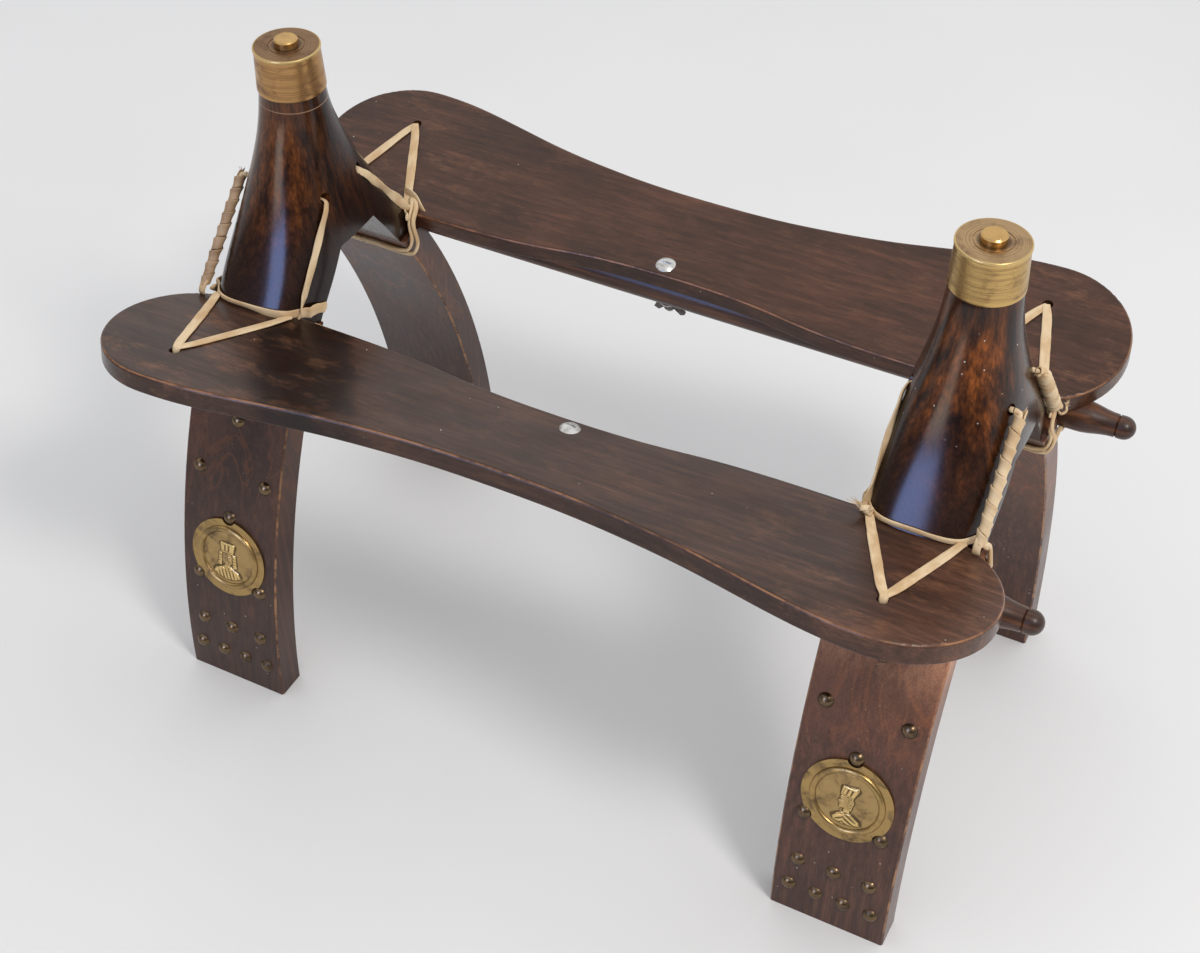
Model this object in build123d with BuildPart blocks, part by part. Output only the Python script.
"""Camel saddle stool: two carved pommels on bowed legs, two waisted side boards, laced with rawhide.

Millimetres, +Z up. X runs along the boards, Y from the near side to the far side, and the origin
lies on the floor under the middle. Each corner piece is made once, for the right far corner, and
mirrored to the other three.
"""
import os
from math import asin, atan2, cos, degrees, hypot, pi, radians, sin, sqrt

from build123d import *

os.makedirs("parts", exist_ok=True)

# Whole object
arch_spacing = 520.0
overrun = 60.0
fit_gap = 0.15
lace_gap = 0.3

# Legs, bowed boards cut from one circle
leg_width = 88.0
leg_thickness = 25.0
leg_height = 302.0
leg_bow_radius = 610.0
leg_bow_drop = 18.0
leg_top_reach = 85.6
leg_edge_chamfer = 1.2
tenon_width = 48.0
tenon_thickness = 9.0
tenon_height = 14.0
tenon_setback = 4.5

# Side boards, tilted so that the inner edge lies lower
board_overhang = 74.5
board_thickness = 15.0
board_tilt = 11.0
board_end_radius = 65.5
board_waist_width = 84.5
board_waist_shift = 10.2
board_edge_radius = 2.2
board_under_edge_radius = 1.2
lace_hole_reach = 164.0
lace_hole_rise = 33.0
lace_hole_shift = 7.0
lace_hole_diameter = 8.0
board_end_setback = 25.5
outer_waist_shares = ((0.327, 0.13), (0.513, 0.34), (0.755, 0.76))
inner_waist_shares = ((0.286, 0.30), (0.416, 0.67), (0.580, 0.92), (0.780, 0.995))

# Turned rods under the inner edges of the boards
rod_diameter = 24.0
rod_overhang = 96.0
rod_taper_length = 40.0
rod_tip_diameter = 17.0
rod_tip_length = 12.0
rod_groove_width = 1.6
rod_groove_depth = 1.1
rod_seat_depth = 0.9
rod_seat_clearance = 0.12

# Pommel halves
pommel_height = 191.0
ferrule_height = 30.5
neck_radius = 23.8
collar_radius = 22.0
pommel_side_inset = 0.5
pommel_foot_depth = 98.0
fork_rise = 47.0
fork_flat = 22.0
fork_corner_radius = 9.0
strap_hole_diameter = 8.0
strap_hole_rise = 87.0
strap_hole_setback = 22.0
rabbet_gap = 0.4
pommel_shares = (
    (0.000, 0.97, 1.000, 0.880),
    (0.112, 0.99, 0.865, 0.870),
    (0.267, 1.00, 0.642, 0.800),
    (0.422, 0.85, 0.446, 0.710),
    (0.547, 0.64, 0.318, 0.650),
    (0.671, 0.40, 0.210, 0.600),
    (0.807, 0.18, 0.100, 0.565),
    (1.000, 0.00, 0.000, 0.552),
)

# Brass ferrule, cap disc and finial screw on each pommel
ferrule_top_radius = 23.7
ferrule_bottom_radius = 25.0
ferrule_bead = 0.5
cap_radius = 24.3
cap_thickness = 2.4
cap_edge_radius = 0.8
cap_ring_radius = 13.0
cap_ring_width = 0.9
cap_ring_depth = 0.4
button_radius = 8.6
button_height = 5.4
button_chamfer = 1.0
screw_shank_radius = 2.5
screw_shank_length = 62.0
screw_hole_clearance = 0.1

# Clamp bolt through each board and rod, with washer and wing nut
bolt_shift_near = 15.0
bolt_shift_far = -8.0
bolt_shank_radius = 3.0
bolt_hole_clearance = 0.25
bolt_head_radius = 7.6
bolt_head_height = 2.8
bolt_slot_width = 1.8
bolt_slot_depth = 1.3
bolt_tail = 3.5
washer_radius = 7.5
washer_thickness = 1.4
nut_running_gap = 0.06
nut_hub_radius = 5.6
nut_hub_top_radius = 4.6
nut_hub_height = 7.0
wing_reach = 13.5
wing_height = 8.5
wing_thickness = 2.4
wing_tip_radius = 4.2
wing_root_overlap = 2.0

# Tacks and medallions on the outer face of each leg
tack_radius = 5.8
tack_height = 3.6
tack_shank_radius = 1.1
tack_shank_length = 9.0
tack_inset = 14.0
tack_height_shares = (0.785, 0.642, 0.185, 0.093)
tack_row_shares = ((0.0,), (-1.0, 1.0), (-0.9, 0.0, 0.9), (-1.05, -0.35, 0.35, 1.05))
medallion_radius = 34.0
medallion_height_share = 0.4156
medallion_lip_thickness = 1.2
medallion_rim_radius = 25.5
medallion_rim_width = 5.0
medallion_rim_height = 3.4
medallion_field_thickness = 1.6
medallion_back = 3.0
medallion_tack_top = 34.5
medallion_tack_side = 28.5
medallion_tack_low = 23.5
tack_clearance = 0.2

# Rawhide lacing
band_width = 6.0
band_thickness = 1.8
band_gap = 0.6
knot_size = 10.0
knot_round = 3.2
knot_inset = 8.8
knot_setback = 3.7
foot_level_inset = 13.5
lace_width = 6.6
lace_thickness = 1.6
lace_spread = 24.0
tie_diameter = 3.4
tie_bend_radius = 7.0
tie_end_inset = 7.9
tie_end_drop = 12.0
strap_width = 7.0
strap_thickness = 1.6
strap_inset = 0.67
strap_foot_gap = 7.5
strap_plug_length = 13.8
sling_diameter = 3.4
sling_pitch = 4.4
sling_drop = 17.0
sling_rise = 38.0
sling_slope = 80.0
sling_tie_share = 0.8
core_diameter = 3.8
core_outset = 2.83
core_foot_inset = 1.29
core_bend_radius = 5.0
core_foot_gap = 9.0
wrap_wire_diameter = 2.8
wrap_turns = 9
wrap_start = 8.0
wrap_end = 9.5
wrap_core_gap = 0.2
gap_samples = 40

# Places worked out from the sizes above
arch_x = arch_spacing / 2
tilt = radians(board_tilt)
bow_centre_y = leg_top_reach - sqrt(leg_bow_radius**2 - (leg_height + leg_bow_drop) ** 2)
inner_bow_radius = leg_bow_radius - leg_thickness
medallion_height_on_leg = medallion_height_share * leg_height
tack_column = leg_width / 2 - tack_inset
pommel_half_width = leg_width / 2 - pommel_side_inset
lace_hole_height = leg_height + lace_hole_rise
board_length = arch_spacing + 2 * board_overhang
rod_length = arch_spacing + 2 * rod_overhang
fork_height = leg_height + fork_rise
strap_hole_height = leg_height + strap_hole_rise
pommel_top = leg_height + pommel_height
ferrule_z = pommel_top - ferrule_height
screw_hole_radius = screw_shank_radius + screw_hole_clearance
board_plane = Plane(
    origin=(0, lace_hole_reach, lace_hole_height),
    x_dir=(1, 0, 0),
    z_dir=(0, -sin(tilt), cos(tilt)),
)
board_inner = board_end_setback + board_end_radius
lace_hole_x = arch_x + lace_hole_shift


def bow_y(radius, height):
    """Y of the bow circle of this radius at this height."""
    return bow_centre_y + sqrt(radius**2 - (height + leg_bow_drop) ** 2)


def board_depth(y):
    """Height of the board's top surface above the floor at this Y."""
    return lace_hole_height + (y - lace_hole_reach) * sin(tilt) / cos(tilt)


# The rod touches both the board's underside and the leg's outer face
bow_v = (-lace_hole_reach + bow_centre_y) * cos(tilt) + (-lace_hole_height - leg_bow_drop) * sin(tilt)
bow_n = (lace_hole_reach - bow_centre_y) * sin(tilt) + (-lace_hole_height - leg_bow_drop) * cos(tilt)
rod_reach = leg_bow_radius + rod_diameter / 2 + rod_seat_clearance
rod_n = -(board_thickness + rod_diameter / 2 + rod_seat_clearance)
rod_v = bow_v + sqrt(rod_reach**2 - (rod_n - bow_n) ** 2)
rod_centre = board_plane.from_local_coords(Vector(0, rod_v, rod_n))


def leg_face(shift, height):
    """The plane on the leg's outer face at this height, facing out."""
    angle = asin((height + leg_bow_drop) / leg_bow_radius)
    return Plane(
        origin=(arch_x + shift, bow_y(leg_bow_radius, height), height),
        x_dir=(-1, 0, 0),
        z_dir=(0, cos(angle), sin(angle)),
    )


rim_tack_planes = [
    leg_face(0, medallion_height_on_leg + medallion_tack_top),
    leg_face(-medallion_tack_side, medallion_height_on_leg - medallion_tack_low),
    leg_face(medallion_tack_side, medallion_height_on_leg - medallion_tack_low),
]
tack_planes = list(rim_tack_planes)
for height_share, row_shares in zip(tack_height_shares, tack_row_shares):
    for share in row_shares:
        tack_planes.append(leg_face(share * tack_column, height_share * leg_height))

corners = [
    ("left_near", True, True),
    ("left_far", True, False),
    ("right_near", False, True),
    ("right_far", False, False),
]


def save(piece, name):
    """Label one finished piece and write it."""
    piece.label = name
    export_step(piece, f"parts/{name}.step")


def save_at_corners(master, name):
    """Write the right far piece and its mirrored copies."""
    for corner, is_left, is_near in corners:
        with BuildPart() as copy:
            add(master.part)
            if is_left:
                mirror(about=Plane.YZ, mode=Mode.REPLACE)
            if is_near:
                mirror(about=Plane.XZ, mode=Mode.REPLACE)
        save(copy.part, f"{name}_{corner}")


# Leg, a section with eased corners turned about the middle of its bow
bow_axis = Axis((0, bow_centre_y, -leg_bow_drop), (1, 0, 0))
bow_turn = degrees(asin((leg_height + leg_thickness + leg_bow_drop) / inner_bow_radius))
tenon_y = bow_y(inner_bow_radius, leg_height) + tenon_setback + tenon_thickness / 2
with BuildPart() as leg:
    with BuildSketch(Plane.XY.offset(-leg_bow_drop)):
        with Locations((arch_x, bow_centre_y + leg_bow_radius - leg_thickness / 2)):
            Rectangle(leg_width, leg_thickness)
        chamfer(vertices(), leg_edge_chamfer)
    revolve(axis=bow_axis, revolution_arc=bow_turn)
    split(bisect_by=Plane.XY)
    split(bisect_by=Plane.XY.offset(leg_height), keep=Keep.BOTTOM)
    with BuildSketch(Plane.XY.offset(leg_height)):
        with Locations((arch_x, tenon_y)):
            Rectangle(tenon_width, tenon_thickness)
    extrude(amount=tenon_height)
    with Locations(*tack_planes):
        Hole(tack_shank_radius + fit_gap, tack_shank_length + fit_gap)
save_at_corners(leg, "leg")

# Tacks
with BuildPart() as tack:
    with BuildSketch(Plane.XZ):
        with BuildLine():
            Line((0, -tack_shank_length), (0, tack_height))
            mid_angle = atan2(tack_height, tack_radius)
            dome_radius = (tack_radius**2 + tack_height**2) / (2 * tack_height)
            dome_mid = (dome_radius * sin(mid_angle), tack_height - dome_radius * (1 - cos(mid_angle)))
            ThreePointArc((0, tack_height), dome_mid, (tack_radius, 0))
            Line((tack_radius, 0), (tack_shank_radius, 0))
            Line((tack_shank_radius, 0), (tack_shank_radius, -tack_shank_length + tack_shank_radius))
            Line((tack_shank_radius, -tack_shank_length + tack_shank_radius), (0, -tack_shank_length))
        make_face()
    revolve(axis=Axis.Z)

with BuildPart() as tacks:
    with Locations(*tack_planes):
        add(tack.part)
save_at_corners(tacks, "tacks")

# Medallion: a flat lip, a rolled rim and a dished field, with its back bowed to the leg
medallion_plane = leg_face(0, medallion_height_on_leg)
rim_outer = medallion_rim_radius + medallion_rim_width / 2
rim_inner = medallion_rim_radius - medallion_rim_width / 2
with BuildPart() as medallion:
    with BuildSketch(Plane.XZ):
        with BuildLine():
            Line((0, -medallion_back), (medallion_radius, -medallion_back))
            Line((medallion_radius, -medallion_back), (medallion_radius, medallion_lip_thickness))
            Line((medallion_radius, medallion_lip_thickness), (rim_outer, medallion_lip_thickness))
            ThreePointArc(
                (rim_outer, medallion_lip_thickness),
                (medallion_rim_radius, medallion_rim_height),
                (rim_inner, medallion_field_thickness),
            )
            Line((rim_inner, medallion_field_thickness), (0, medallion_field_thickness))
            Line((0, medallion_field_thickness), (0, -medallion_back))
        make_face()
    revolve(axis=Axis.Z)

with BuildPart() as seated_medallion:
    with Locations(medallion_plane):
        add(medallion.part)
    for rim_tack_plane in rim_tack_planes:
        with BuildSketch(rim_tack_plane):
            Circle(tack_radius + tack_clearance)
        extrude(amount=medallion_back + tack_height, both=True, mode=Mode.SUBTRACT)
    with BuildSketch(Plane.YZ.offset(arch_x - leg_width / 2)):
        with Locations((bow_centre_y, -leg_bow_drop)):
            Circle(leg_bow_radius)
    extrude(amount=leg_width, mode=Mode.SUBTRACT)
save_at_corners(seated_medallion, "medallion")


def pommel_section(height):
    """Half width, depth and corner share of the carved half at this height."""
    share = (height - leg_height) / (ferrule_z - leg_height)
    for lower, upper in zip(pommel_shares, pommel_shares[1:]):
        if share <= upper[0]:
            break
    part_way = (share - lower[0]) / (upper[0] - lower[0])
    width_share, depth_share, corner_share = (
        low + part_way * (high - low) for low, high in zip(lower[1:], upper[1:])
    )
    half_width = neck_radius + width_share * (pommel_half_width - neck_radius)
    depth = neck_radius + depth_share * (pommel_foot_depth - neck_radius)
    return half_width, depth, corner_share


fork_foot_y = bow_y(inner_bow_radius, leg_height)
fork_run = (fork_foot_y - fork_flat) / (fork_height - leg_height)

# Pommel half: the carved body, forked underneath to stand on the leg, rebated over the board
with BuildPart() as pommel:
    for section_shares in pommel_shares:
        height = leg_height + section_shares[0] * (ferrule_z - leg_height)
        half_width, depth, share = pommel_section(height)
        with BuildSketch(Plane((arch_x, 0, height))):
            with BuildLine():
                front = (0, depth)
                right = (half_width, 0)
                left = (-half_width, 0)
                Bezier(right, (half_width, share * depth), (share * half_width, depth), front)
                Bezier(front, (-share * half_width, depth), (-half_width, share * depth), left)
                Line(left, right)
            make_face()
    loft()
    with BuildSketch(Plane.YZ.offset(arch_x - overrun)):
        with BuildLine():
            Polyline(
                (-overrun, leg_height - overrun),
                (-overrun, fork_height),
                (fork_flat, fork_height),
                (fork_foot_y, leg_height),
                (fork_foot_y + overrun * fork_run, leg_height - overrun),
                close=True,
            )
        make_face()
        top_corners = vertices().group_by(Axis.Z)[-1].sort_by(Axis.Y)
        fillet(top_corners[-1], fork_corner_radius)
    extrude(amount=2 * overrun, mode=Mode.SUBTRACT)
    with BuildSketch(Plane((arch_x, 0, ferrule_z))):
        Circle(collar_radius)
        with Locations((0, -collar_radius)):
            Rectangle(2 * collar_radius, 2 * collar_radius, mode=Mode.SUBTRACT)
    extrude(amount=ferrule_height)
    with BuildSketch(board_plane.offset(fit_gap)):
        with Locations((arch_x, -board_inner - rabbet_gap)):
            Rectangle(4 * overrun, 2 * overrun, align=(Align.CENTER, Align.MIN))
    extrude(amount=-overrun, mode=Mode.SUBTRACT)
    with BuildSketch(Plane.YZ.offset(arch_x - overrun)):
        with Locations((strap_hole_setback, strap_hole_height)):
            Circle(strap_hole_diameter / 2)
    extrude(amount=2 * overrun, mode=Mode.SUBTRACT)
    with BuildSketch(Plane.XY.offset(leg_height)):
        with Locations((arch_x, tenon_y)):
            Rectangle(tenon_width + 2 * fit_gap, tenon_thickness + 2 * fit_gap)
    extrude(amount=tenon_height + fit_gap, mode=Mode.SUBTRACT)
    with BuildSketch(Plane((arch_x, 0, pommel_top))):
        Circle(screw_hole_radius)
    extrude(amount=-screw_shank_length - screw_hole_clearance, mode=Mode.SUBTRACT)
save_at_corners(pommel, "pommel")

# Ferrule, cap disc and finial screw
with BuildPart() as ferrule:
    with BuildSketch(Plane.XZ):
        with BuildLine():
            inner_radius = collar_radius + fit_gap
            Polyline(
                (inner_radius, ferrule_z + fit_gap),
                (ferrule_bottom_radius - ferrule_bead, ferrule_z + fit_gap),
                (ferrule_bottom_radius, ferrule_z + fit_gap + ferrule_bead),
                (ferrule_bottom_radius, ferrule_z + fit_gap + 3 * ferrule_bead),
                (ferrule_top_radius, pommel_top),
                (inner_radius, pommel_top),
                close=True,
            )
        make_face()
    revolve(axis=Axis.Z)

with BuildPart() as cap:
    with BuildSketch(Plane.XY.offset(pommel_top)):
        Circle(cap_radius)
        Circle(screw_hole_radius, mode=Mode.SUBTRACT)
    extrude(amount=cap_thickness)
    fillet(cap.edges().filter_by(GeomType.CIRCLE).group_by(SortBy.RADIUS)[-1], cap_edge_radius)
    with BuildSketch(Plane.XY.offset(pommel_top + cap_thickness)):
        Circle(cap_ring_radius + cap_ring_width / 2)
        Circle(cap_ring_radius - cap_ring_width / 2, mode=Mode.SUBTRACT)
    extrude(amount=-cap_ring_depth, mode=Mode.SUBTRACT)

cap_top = pommel_top + cap_thickness
with BuildPart() as finial:
    with BuildSketch(Plane.XY.offset(cap_top)):
        Circle(button_radius)
    extrude(amount=button_height)
    chamfer(finial.edges().group_by(Axis.Z)[-1], button_chamfer)
    with BuildSketch(Plane.XY.offset(cap_top)):
        Circle(screw_shank_radius)
    extrude(amount=-screw_shank_length)
    chamfer(finial.edges().group_by(Axis.Z)[0], screw_shank_radius / 2)

for end_name, end_x in (("left", -arch_x), ("right", arch_x)):
    for piece, piece_name in ((ferrule, "ferrule"), (cap, "cap_disc"), (finial, "finial_screw")):
        with BuildPart() as placed:
            with Locations((end_x, 0, 0)):
                add(piece.part)
        save(placed.part, f"{piece_name}_{end_name}")

# Side boards, rods, bolts, washers and wing nuts
waist_middle = -board_end_setback - board_waist_shift
waist_outer = waist_middle + board_waist_width / 2
waist_inner = waist_middle - board_waist_width / 2
end_x = board_length / 2 - board_end_radius
end_outer = board_end_radius - board_end_setback
end_inner = -board_end_radius - board_end_setback


def waist_curve(from_waist, to_end, shares):
    """One side of the waist, from the end round in to the middle."""
    points = [(end_x, to_end)]
    for along, rise in reversed(shares):
        points.append((along * end_x, from_waist + rise * (to_end - from_waist)))
    points.append((0, from_waist))
    return Spline(*points, tangents=[(-1, 0), (-1, 0)])


def make_board(bolt_shift):
    """A far side board, with its bolt hole at this place along X."""
    with BuildPart() as body:
        with BuildSketch(board_plane):
            with BuildLine():
                CenterArc((end_x, -board_end_setback), board_end_radius, -90, 180)
                waist_curve(waist_outer, end_outer, outer_waist_shares)
                waist_curve(waist_inner, end_inner, inner_waist_shares)
                mirror(about=Plane.YZ)
            make_face()
        extrude(amount=-board_thickness)
        fillet(body.faces().filter_by(board_plane).sort_by(Axis.Z)[-1].edges(), board_edge_radius)
        fillet(body.faces().filter_by(board_plane).sort_by(Axis.Z)[0].edges(), board_under_edge_radius)
        with Locations(board_plane):
            with Locations((-lace_hole_x, 0), (lace_hole_x, 0)):
                Hole(lace_hole_diameter / 2)
            with Locations((bolt_shift, rod_v)):
                Hole(bolt_shank_radius + bolt_hole_clearance)
    return body


rod_half = rod_length / 2
taper_x = rod_half - rod_taper_length
tip_x = rod_half - rod_tip_length
seat_n = rod_n - rod_diameter / 2 + rod_seat_depth


def make_rod(bolt_shift):
    """A far rod, turned with a tapered grooved peg at each end and cross drilled for its bolt."""
    with BuildPart() as body:
        with BuildSketch(Plane.XY):
            with BuildLine():
                Line((0, 0), (0, rod_diameter / 2))
                Line((0, rod_diameter / 2), (taper_x, rod_diameter / 2))
                Spline(
                    (taper_x, rod_diameter / 2),
                    (tip_x - rod_groove_width, rod_tip_diameter / 2),
                    tangents=[(1, 0), (1, 0)],
                )
                Polyline(
                    (tip_x - rod_groove_width, rod_tip_diameter / 2),
                    (tip_x - rod_groove_width / 2, rod_tip_diameter / 2 - rod_groove_depth),
                    (tip_x, rod_tip_diameter / 2),
                )
                Line((tip_x, rod_tip_diameter / 2), (rod_half - rod_tip_diameter / 2, rod_tip_diameter / 2))
                RadiusArc(
                    (rod_half - rod_tip_diameter / 2, rod_tip_diameter / 2),
                    (rod_half, 0),
                    rod_tip_diameter / 2,
                )
                Line((rod_half, 0), (0, 0))
            make_face()
        revolve(axis=Axis.X)
        mirror(about=Plane.YZ)
    with BuildPart() as placed:
        with Locations(Plane(origin=rod_centre, x_dir=(1, 0, 0), z_dir=board_plane.z_dir)):
            add(body.part)
        with BuildSketch(board_plane.offset(seat_n)):
            with Locations((bolt_shift, rod_v)):
                Circle(washer_radius + fit_gap)
        extrude(amount=-rod_diameter, mode=Mode.SUBTRACT)
        with BuildSketch(board_plane):
            with Locations((bolt_shift, rod_v)):
                Circle(bolt_shank_radius + bolt_hole_clearance)
        extrude(amount=-board_thickness - 2 * rod_diameter, mode=Mode.SUBTRACT)
    return placed


washer_n = seat_n - washer_thickness
nut_n = washer_n - nut_running_gap
bolt_length = -nut_n + nut_hub_height + bolt_tail


def make_bolt(bolt_shift):
    """A slotted oval head bolt, down through the board and the rod."""
    with BuildPart() as body:
        with BuildSketch(Plane.XZ):
            with BuildLine():
                head_round = (bolt_head_radius**2 + bolt_head_height**2) / (2 * bolt_head_height)
                middle = atan2(bolt_head_height, bolt_head_radius)
                head_mid = (head_round * sin(middle), bolt_head_height - head_round * (1 - cos(middle)))
                Line((0, -bolt_length), (0, bolt_head_height))
                ThreePointArc((0, bolt_head_height), head_mid, (bolt_head_radius, 0))
                Line((bolt_head_radius, 0), (bolt_shank_radius, 0))
                Line((bolt_shank_radius, 0), (bolt_shank_radius, -bolt_length))
                Line((bolt_shank_radius, -bolt_length), (0, -bolt_length))
            make_face()
        revolve(axis=Axis.Z)
        chamfer(body.edges().group_by(Axis.Z)[0], bolt_shank_radius / 4)
        with Locations((0, 0, bolt_head_height)):
            Box(
                2 * bolt_head_radius,
                bolt_slot_width,
                bolt_slot_depth,
                align=(Align.CENTER, Align.CENTER, Align.MAX),
                mode=Mode.SUBTRACT,
            )
    with BuildPart() as placed:
        with Locations(board_plane):
            with Locations((bolt_shift, rod_v)):
                add(body.part)
    return placed


def make_washer(bolt_shift):
    """A flat washer on the spot face under the rod."""
    with BuildPart() as body:
        with BuildSketch(board_plane.offset(washer_n)):
            with Locations((bolt_shift, rod_v)):
                Circle(washer_radius)
                Circle(bolt_shank_radius + bolt_hole_clearance, mode=Mode.SUBTRACT)
        extrude(amount=washer_thickness)
    return body


def make_wing_nut(bolt_shift):
    """A wing nut that turns on its bolt."""
    wing_middle = wing_reach - wing_tip_radius
    with BuildPart() as body:
        with BuildSketch(Plane.XY):
            Circle(nut_hub_radius)
        with BuildSketch(Plane.XY.offset(-nut_hub_height)):
            Circle(nut_hub_top_radius)
        loft()
        with BuildSketch(Plane.XZ.offset(-wing_thickness / 2)):
            with BuildLine():
                Polyline(
                    (0, -nut_hub_height / 3),
                    (nut_hub_radius - wing_root_overlap, -nut_hub_height / 3),
                    (wing_reach - wing_tip_radius / 2, -wing_height + wing_tip_radius / 3),
                    (wing_reach, -wing_height - wing_tip_radius / 2),
                    (wing_middle, -wing_height - wing_tip_radius),
                    (nut_hub_top_radius - wing_root_overlap / 2, -nut_hub_height),
                    (0, -nut_hub_height),
                    close=True,
                )
            make_face()
            outer_corners = vertices().sort_by(Axis.X)[-3:]
            fillet(outer_corners, wing_tip_radius / 4)
        extrude(amount=wing_thickness)
        mirror(about=Plane.YZ)
        with BuildSketch(Plane.XY):
            Circle(bolt_shank_radius + nut_running_gap)
        extrude(amount=-2 * nut_hub_height, mode=Mode.SUBTRACT)
    with BuildPart() as placed:
        with Locations(board_plane.offset(nut_n)):
            with Locations((bolt_shift, rod_v)):
                add(body.part)
    return placed


makers = (
    (make_board, "side_board"),
    (make_rod, "rod"),
    (make_bolt, "clamp_bolt"),
    (make_washer, "washer"),
    (make_wing_nut, "wing_nut"),
)
for maker, piece_name in makers:
    far = maker(bolt_shift_far)
    save(far.part, f"{piece_name}_far")
    near_master = maker(bolt_shift_near)
    with BuildPart() as near:
        add(near_master.part)
        mirror(about=Plane.XZ, mode=Mode.REPLACE)
    save(near.part, f"{piece_name}_near")

# Rawhide lacing at each corner
foot_level = board_depth(pommel_foot_depth - foot_level_inset)
foot_half_width, foot_depth, foot_share = pommel_section(foot_level)
knot_spread = foot_half_width - knot_inset
knot_v = (foot_depth - knot_setback - lace_hole_reach) / cos(tilt)
knot_places = [
    Vector(arch_x - knot_spread, knot_v, lace_gap + knot_size / 2),
    Vector(arch_x + knot_spread, knot_v, lace_gap + knot_size / 2),
]
knots = [board_plane.from_local_coords(place) for place in knot_places]
with BuildPart() as knot:
    Box(knot_size, knot_size, knot_size)
    fillet(knot.edges(), knot_round)

# Band round the front of the pommel's foot, on the board, with a knot at each front corner
seam_v = -lace_hole_reach / cos(tilt)
band_front_v = seam_v + foot_depth / cos(tilt) + band_gap + band_thickness
with BuildPart() as foot_band:
    with BuildSketch(board_plane.offset(lace_gap)):
        for grow, how in ((band_gap + band_thickness, Mode.ADD), (band_gap, Mode.SUBTRACT)):
            width = foot_half_width + grow
            front_v = seam_v + foot_depth / cos(tilt) + grow
            with BuildLine():
                right = (arch_x + width, seam_v)
                left = (arch_x - width, seam_v)
                front = (arch_x, front_v)
                corner_v = seam_v + foot_share * (front_v - seam_v)
                Bezier(right, (right[0], corner_v), (arch_x + foot_share * width, front_v), front)
                Bezier(front, (arch_x - foot_share * width, front_v), (left[0], corner_v), left)
                Line(left, right)
            make_face(mode=how)
        with Locations((arch_x, knot_v)):
            Rectangle(4 * overrun, 4 * overrun, align=(Align.CENTER, Align.MIN), mode=Mode.INTERSECT)
    extrude(amount=band_width)
    with Locations(board_plane):
        with Locations(*knot_places):
            add(knot.part)
save_at_corners(foot_band, "foot_band")

# Lace on the board: two flat straps from the knots to the board's hole, down through it and
# on as a cord, under the board and round the rod to the side of the leg
tie_radius = tie_diameter / 2
tie_clear = lace_gap + tie_radius
tie_side = rod_diameter / 2 + tie_clear
tie_x = arch_x + leg_width / 2 + tie_clear + lace_gap
under_n = -board_thickness - tie_clear
below_n = rod_n - tie_side
tie_end_height = leg_height - tie_end_drop
tie_end_y = bow_y(inner_bow_radius, tie_end_height) + tie_end_inset
tie_route = [
    board_plane.from_local_coords(Vector(lace_hole_x, 0, under_n)),
    board_plane.from_local_coords(Vector(tie_x, rod_v + tie_side, under_n)),
    board_plane.from_local_coords(Vector(tie_x, rod_v + tie_side, below_n)),
    board_plane.from_local_coords(Vector(tie_x, rod_v - tie_side, below_n)),
    Vector(tie_x, tie_end_y, tie_end_height),
]
with BuildPart() as board_lace:
    for side in (-1, 1):
        foot = (arch_x + side * lace_spread, band_front_v + fit_gap)
        run = hypot(foot[0] - lace_hole_x, foot[1])
        angle = degrees(atan2(foot[1], foot[0] - lace_hole_x))
        with BuildSketch(board_plane.offset(lace_gap)):
            with Locations((lace_hole_x, 0)):
                with Locations(Rotation(0, 0, angle)):
                    Rectangle(run, lace_width, align=(Align.MIN, Align.CENTER))
        extrude(amount=lace_thickness)
    with BuildSketch(board_plane.offset(lace_gap + lace_thickness)):
        with Locations((lace_hole_x, 0)):
            Circle(lace_hole_diameter / 2 - lace_gap)
    extrude(amount=under_n - tie_diameter - lace_gap - lace_thickness)
    with BuildLine():
        FilletPolyline(*tie_route, radius=tie_bend_radius)
    with BuildSketch(Plane(origin=tie_route[0], z_dir=tie_route[1] - tie_route[0])):
        Circle(tie_radius)
    sweep()
    knot_room = knot_size + 2 * fit_gap
    with Locations(board_plane):
        with Locations(*knot_places):
            Box(knot_room, knot_room, knot_room, mode=Mode.SUBTRACT)
save_at_corners(board_lace, "board_lace")

# Flat strap on the inner side, from the pommel's hole down to the knot
hole_half_width = pommel_section(strap_hole_height)[0]
strap_top = Vector(arch_x - hole_half_width + strap_inset, strap_hole_setback, strap_hole_height)
strap_foot = Vector(strap_top.X, knots[0].Y, knots[0].Z)
strap_down = (strap_foot - strap_top).normalized()
strap_plane = Plane(origin=strap_top, x_dir=strap_down, z_dir=(1, 0, 0))
strap_run = (strap_foot - strap_top).length - strap_foot_gap
with BuildPart() as flat_strap:
    with BuildSketch(strap_plane):
        Rectangle(strap_run, strap_width, align=(Align.MIN, Align.CENTER))
        Circle(strap_width / 2)
    extrude(amount=-strap_thickness)
    with BuildSketch(strap_plane):
        Circle(strap_hole_diameter / 2 - lace_gap)
    extrude(amount=strap_plug_length)
save_at_corners(flat_strap, "flat_strap")

# Cord core on the outer side, out of the hole and down to the other knot
core_top = Vector(arch_x + hole_half_width + core_outset, strap_hole_setback, strap_hole_height)
core_foot = Vector(arch_x + foot_half_width - core_foot_inset, knots[1].Y, knots[1].Z)
core_down = (core_foot - core_top).normalized()
core_end = core_foot - core_down * core_foot_gap
core_start = Vector(arch_x + pommel_half_width / 4, strap_hole_setback, strap_hole_height)
with BuildPart() as core:
    with BuildLine():
        FilletPolyline(core_start, core_top, core_end, radius=core_bend_radius)
    with BuildSketch(Plane(origin=core_start, z_dir=(1, 0, 0))):
        Circle(core_diameter / 2)
    sweep()
save_at_corners(core, "lace_core")

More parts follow.
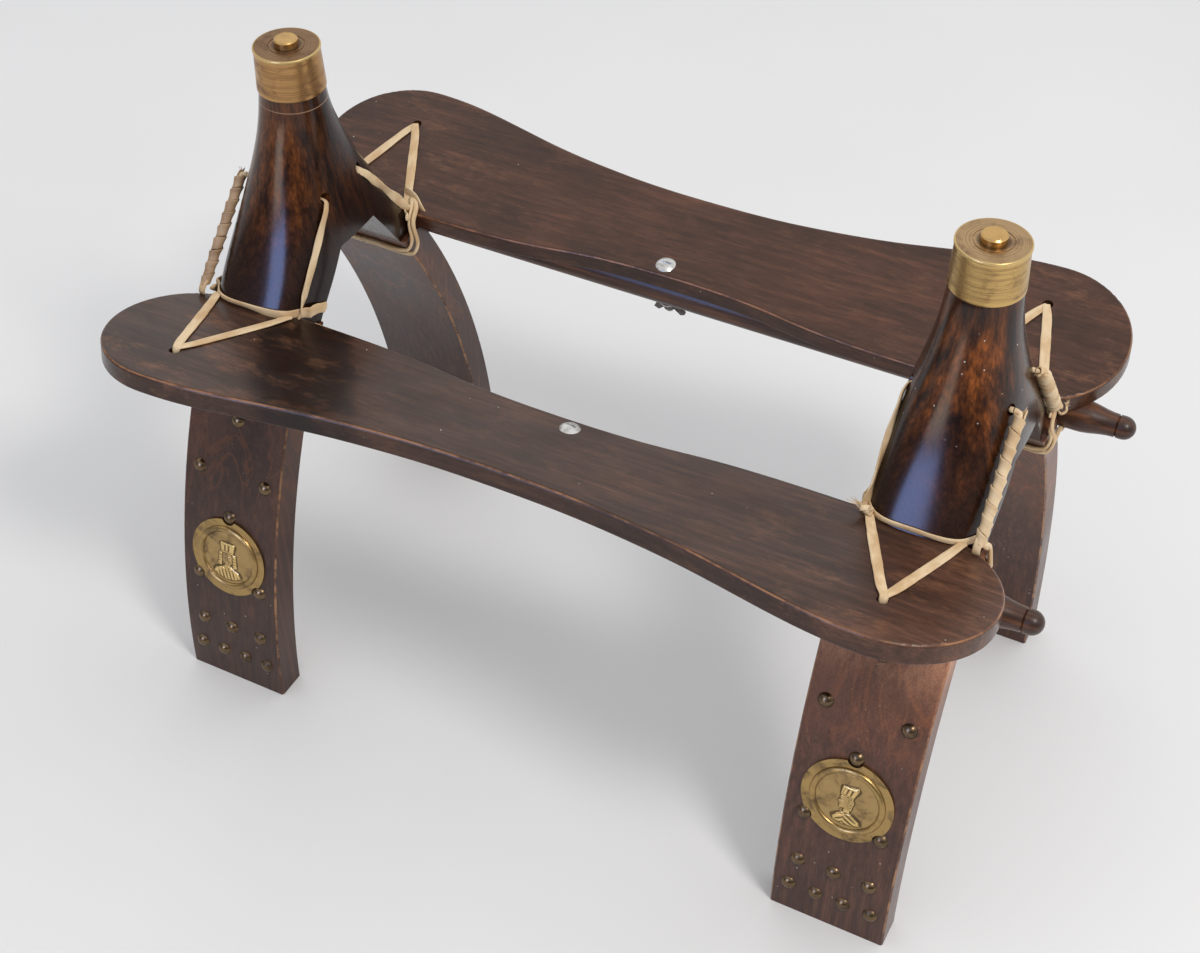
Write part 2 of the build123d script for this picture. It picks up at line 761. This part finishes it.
# Winding round the cord core: a helix drawn with two arcs to each quarter turn
wire_radius = wrap_wire_diameter / 2
wrap_radius = core_diameter / 2 + wire_radius + wrap_core_gap
wrap_from = core_top + core_down * wrap_start
wrap_length = (core_end - core_top).length - wrap_start - wrap_end
wrap_pitch = wrap_length / wrap_turns
wrap_out = Vector(1, 0, 0) - core_down * core_down.X
wrap_out = wrap_out.normalized()
wrap_across = core_down.cross(wrap_out)


def wrap_point(turn):
    """Centre of the winding's wire after this many turns."""
    angle = 2 * pi * turn
    spoke = wrap_out * cos(angle) + wrap_across * sin(angle)
    return wrap_from + core_down * (wrap_pitch * turn) + spoke * wrap_radius


def wrap_heading(turn):
    """Direction of the wire after this many turns."""
    angle = 2 * pi * turn
    round_the_core = wrap_across * cos(angle) - wrap_out * sin(angle)
    heading = round_the_core * (2 * pi * wrap_radius) + core_down * wrap_pitch
    return heading.normalized()


def biarc(start, start_heading, finish, finish_heading):
    """Two arcs that leave and arrive along the given headings."""
    chord = finish - start
    both = start_heading + finish_heading
    bend = 2 * (1 - start_heading.dot(finish_heading))
    reach = (sqrt(chord.dot(both) ** 2 + bend * chord.dot(chord)) - chord.dot(both)) / bend
    joint = (start + finish + (start_heading - finish_heading) * reach) * 0.5
    joint_heading = (joint - (start + start_heading * reach)).normalized()
    TangentArc(start, joint, tangent=start_heading)
    TangentArc(joint, finish, tangent=joint_heading)


with BuildPart() as wrap:
    with BuildLine() as wrap_path:
        Line(wrap_point(0) - wrap_heading(0) * wrap_wire_diameter, wrap_point(0))
        for step in range(4 * wrap_turns):
            here = step / 4
            there = (step + 1) / 4
            biarc(wrap_point(here), wrap_heading(here), wrap_point(there), wrap_heading(there))
        Line(wrap_point(wrap_turns), wrap_point(wrap_turns) + wrap_heading(wrap_turns) * wrap_wire_diameter)
    wire_start = wrap_point(0) - wrap_heading(0) * wrap_wire_diameter
    with BuildSketch(Plane(origin=wire_start, z_dir=wrap_heading(0))):
        Circle(wire_radius)
    sweep()
save_at_corners(wrap, "lace_winding")

sample_count = gap_samples * wrap_turns
samples = [wrap_path.wires()[0].position_at(i / sample_count) for i in range(sample_count + 1)]
least_gap = min(
    (a - b).length
    for i, a in enumerate(samples)
    for b in samples[i + gap_samples // 2:]
)
print("winding turns", wrap_turns, "least gap to itself mm", round(least_gap - wrap_wire_diameter, 2))

# Sling across the inner face of the leg: two cords side by side that rise to the knots
sling_angle = radians(sling_slope)
sling_radius = sling_diameter / 2
with BuildPart() as leg_sling:
    for turn in (0, 1):
        height = leg_height - sling_drop + turn * sling_pitch
        reach = lace_gap + sling_radius
        back_y = bow_y(inner_bow_radius, height) - reach
        side_x = leg_width / 2 + reach + (1 - turn) * (sling_diameter + lace_gap)
        up = Vector(0, cos(sling_angle), sin(sling_angle)) * sling_rise
        left_back = Vector(arch_x - side_x, back_y, height)
        right_back = Vector(arch_x + side_x, back_y, height)
        tie_drop = (turn - sling_tie_share) * sling_pitch
        tie = Vector(knot_size / 2 + sling_diameter, -sling_radius, tie_drop)
        left_tie = knots[0] + Vector(-tie.X, tie.Y, tie.Z)
        right_tie = knots[1] + tie
        route = [left_tie, left_back + up, left_back, right_back, right_back + up, right_tie]
        with BuildLine():
            FilletPolyline(*route, radius=sling_diameter)
        with BuildSketch(Plane(origin=left_tie, z_dir=left_back + up - left_tie)):
            Circle(sling_radius)
        sweep()
save_at_corners(leg_sling, "leg_sling")
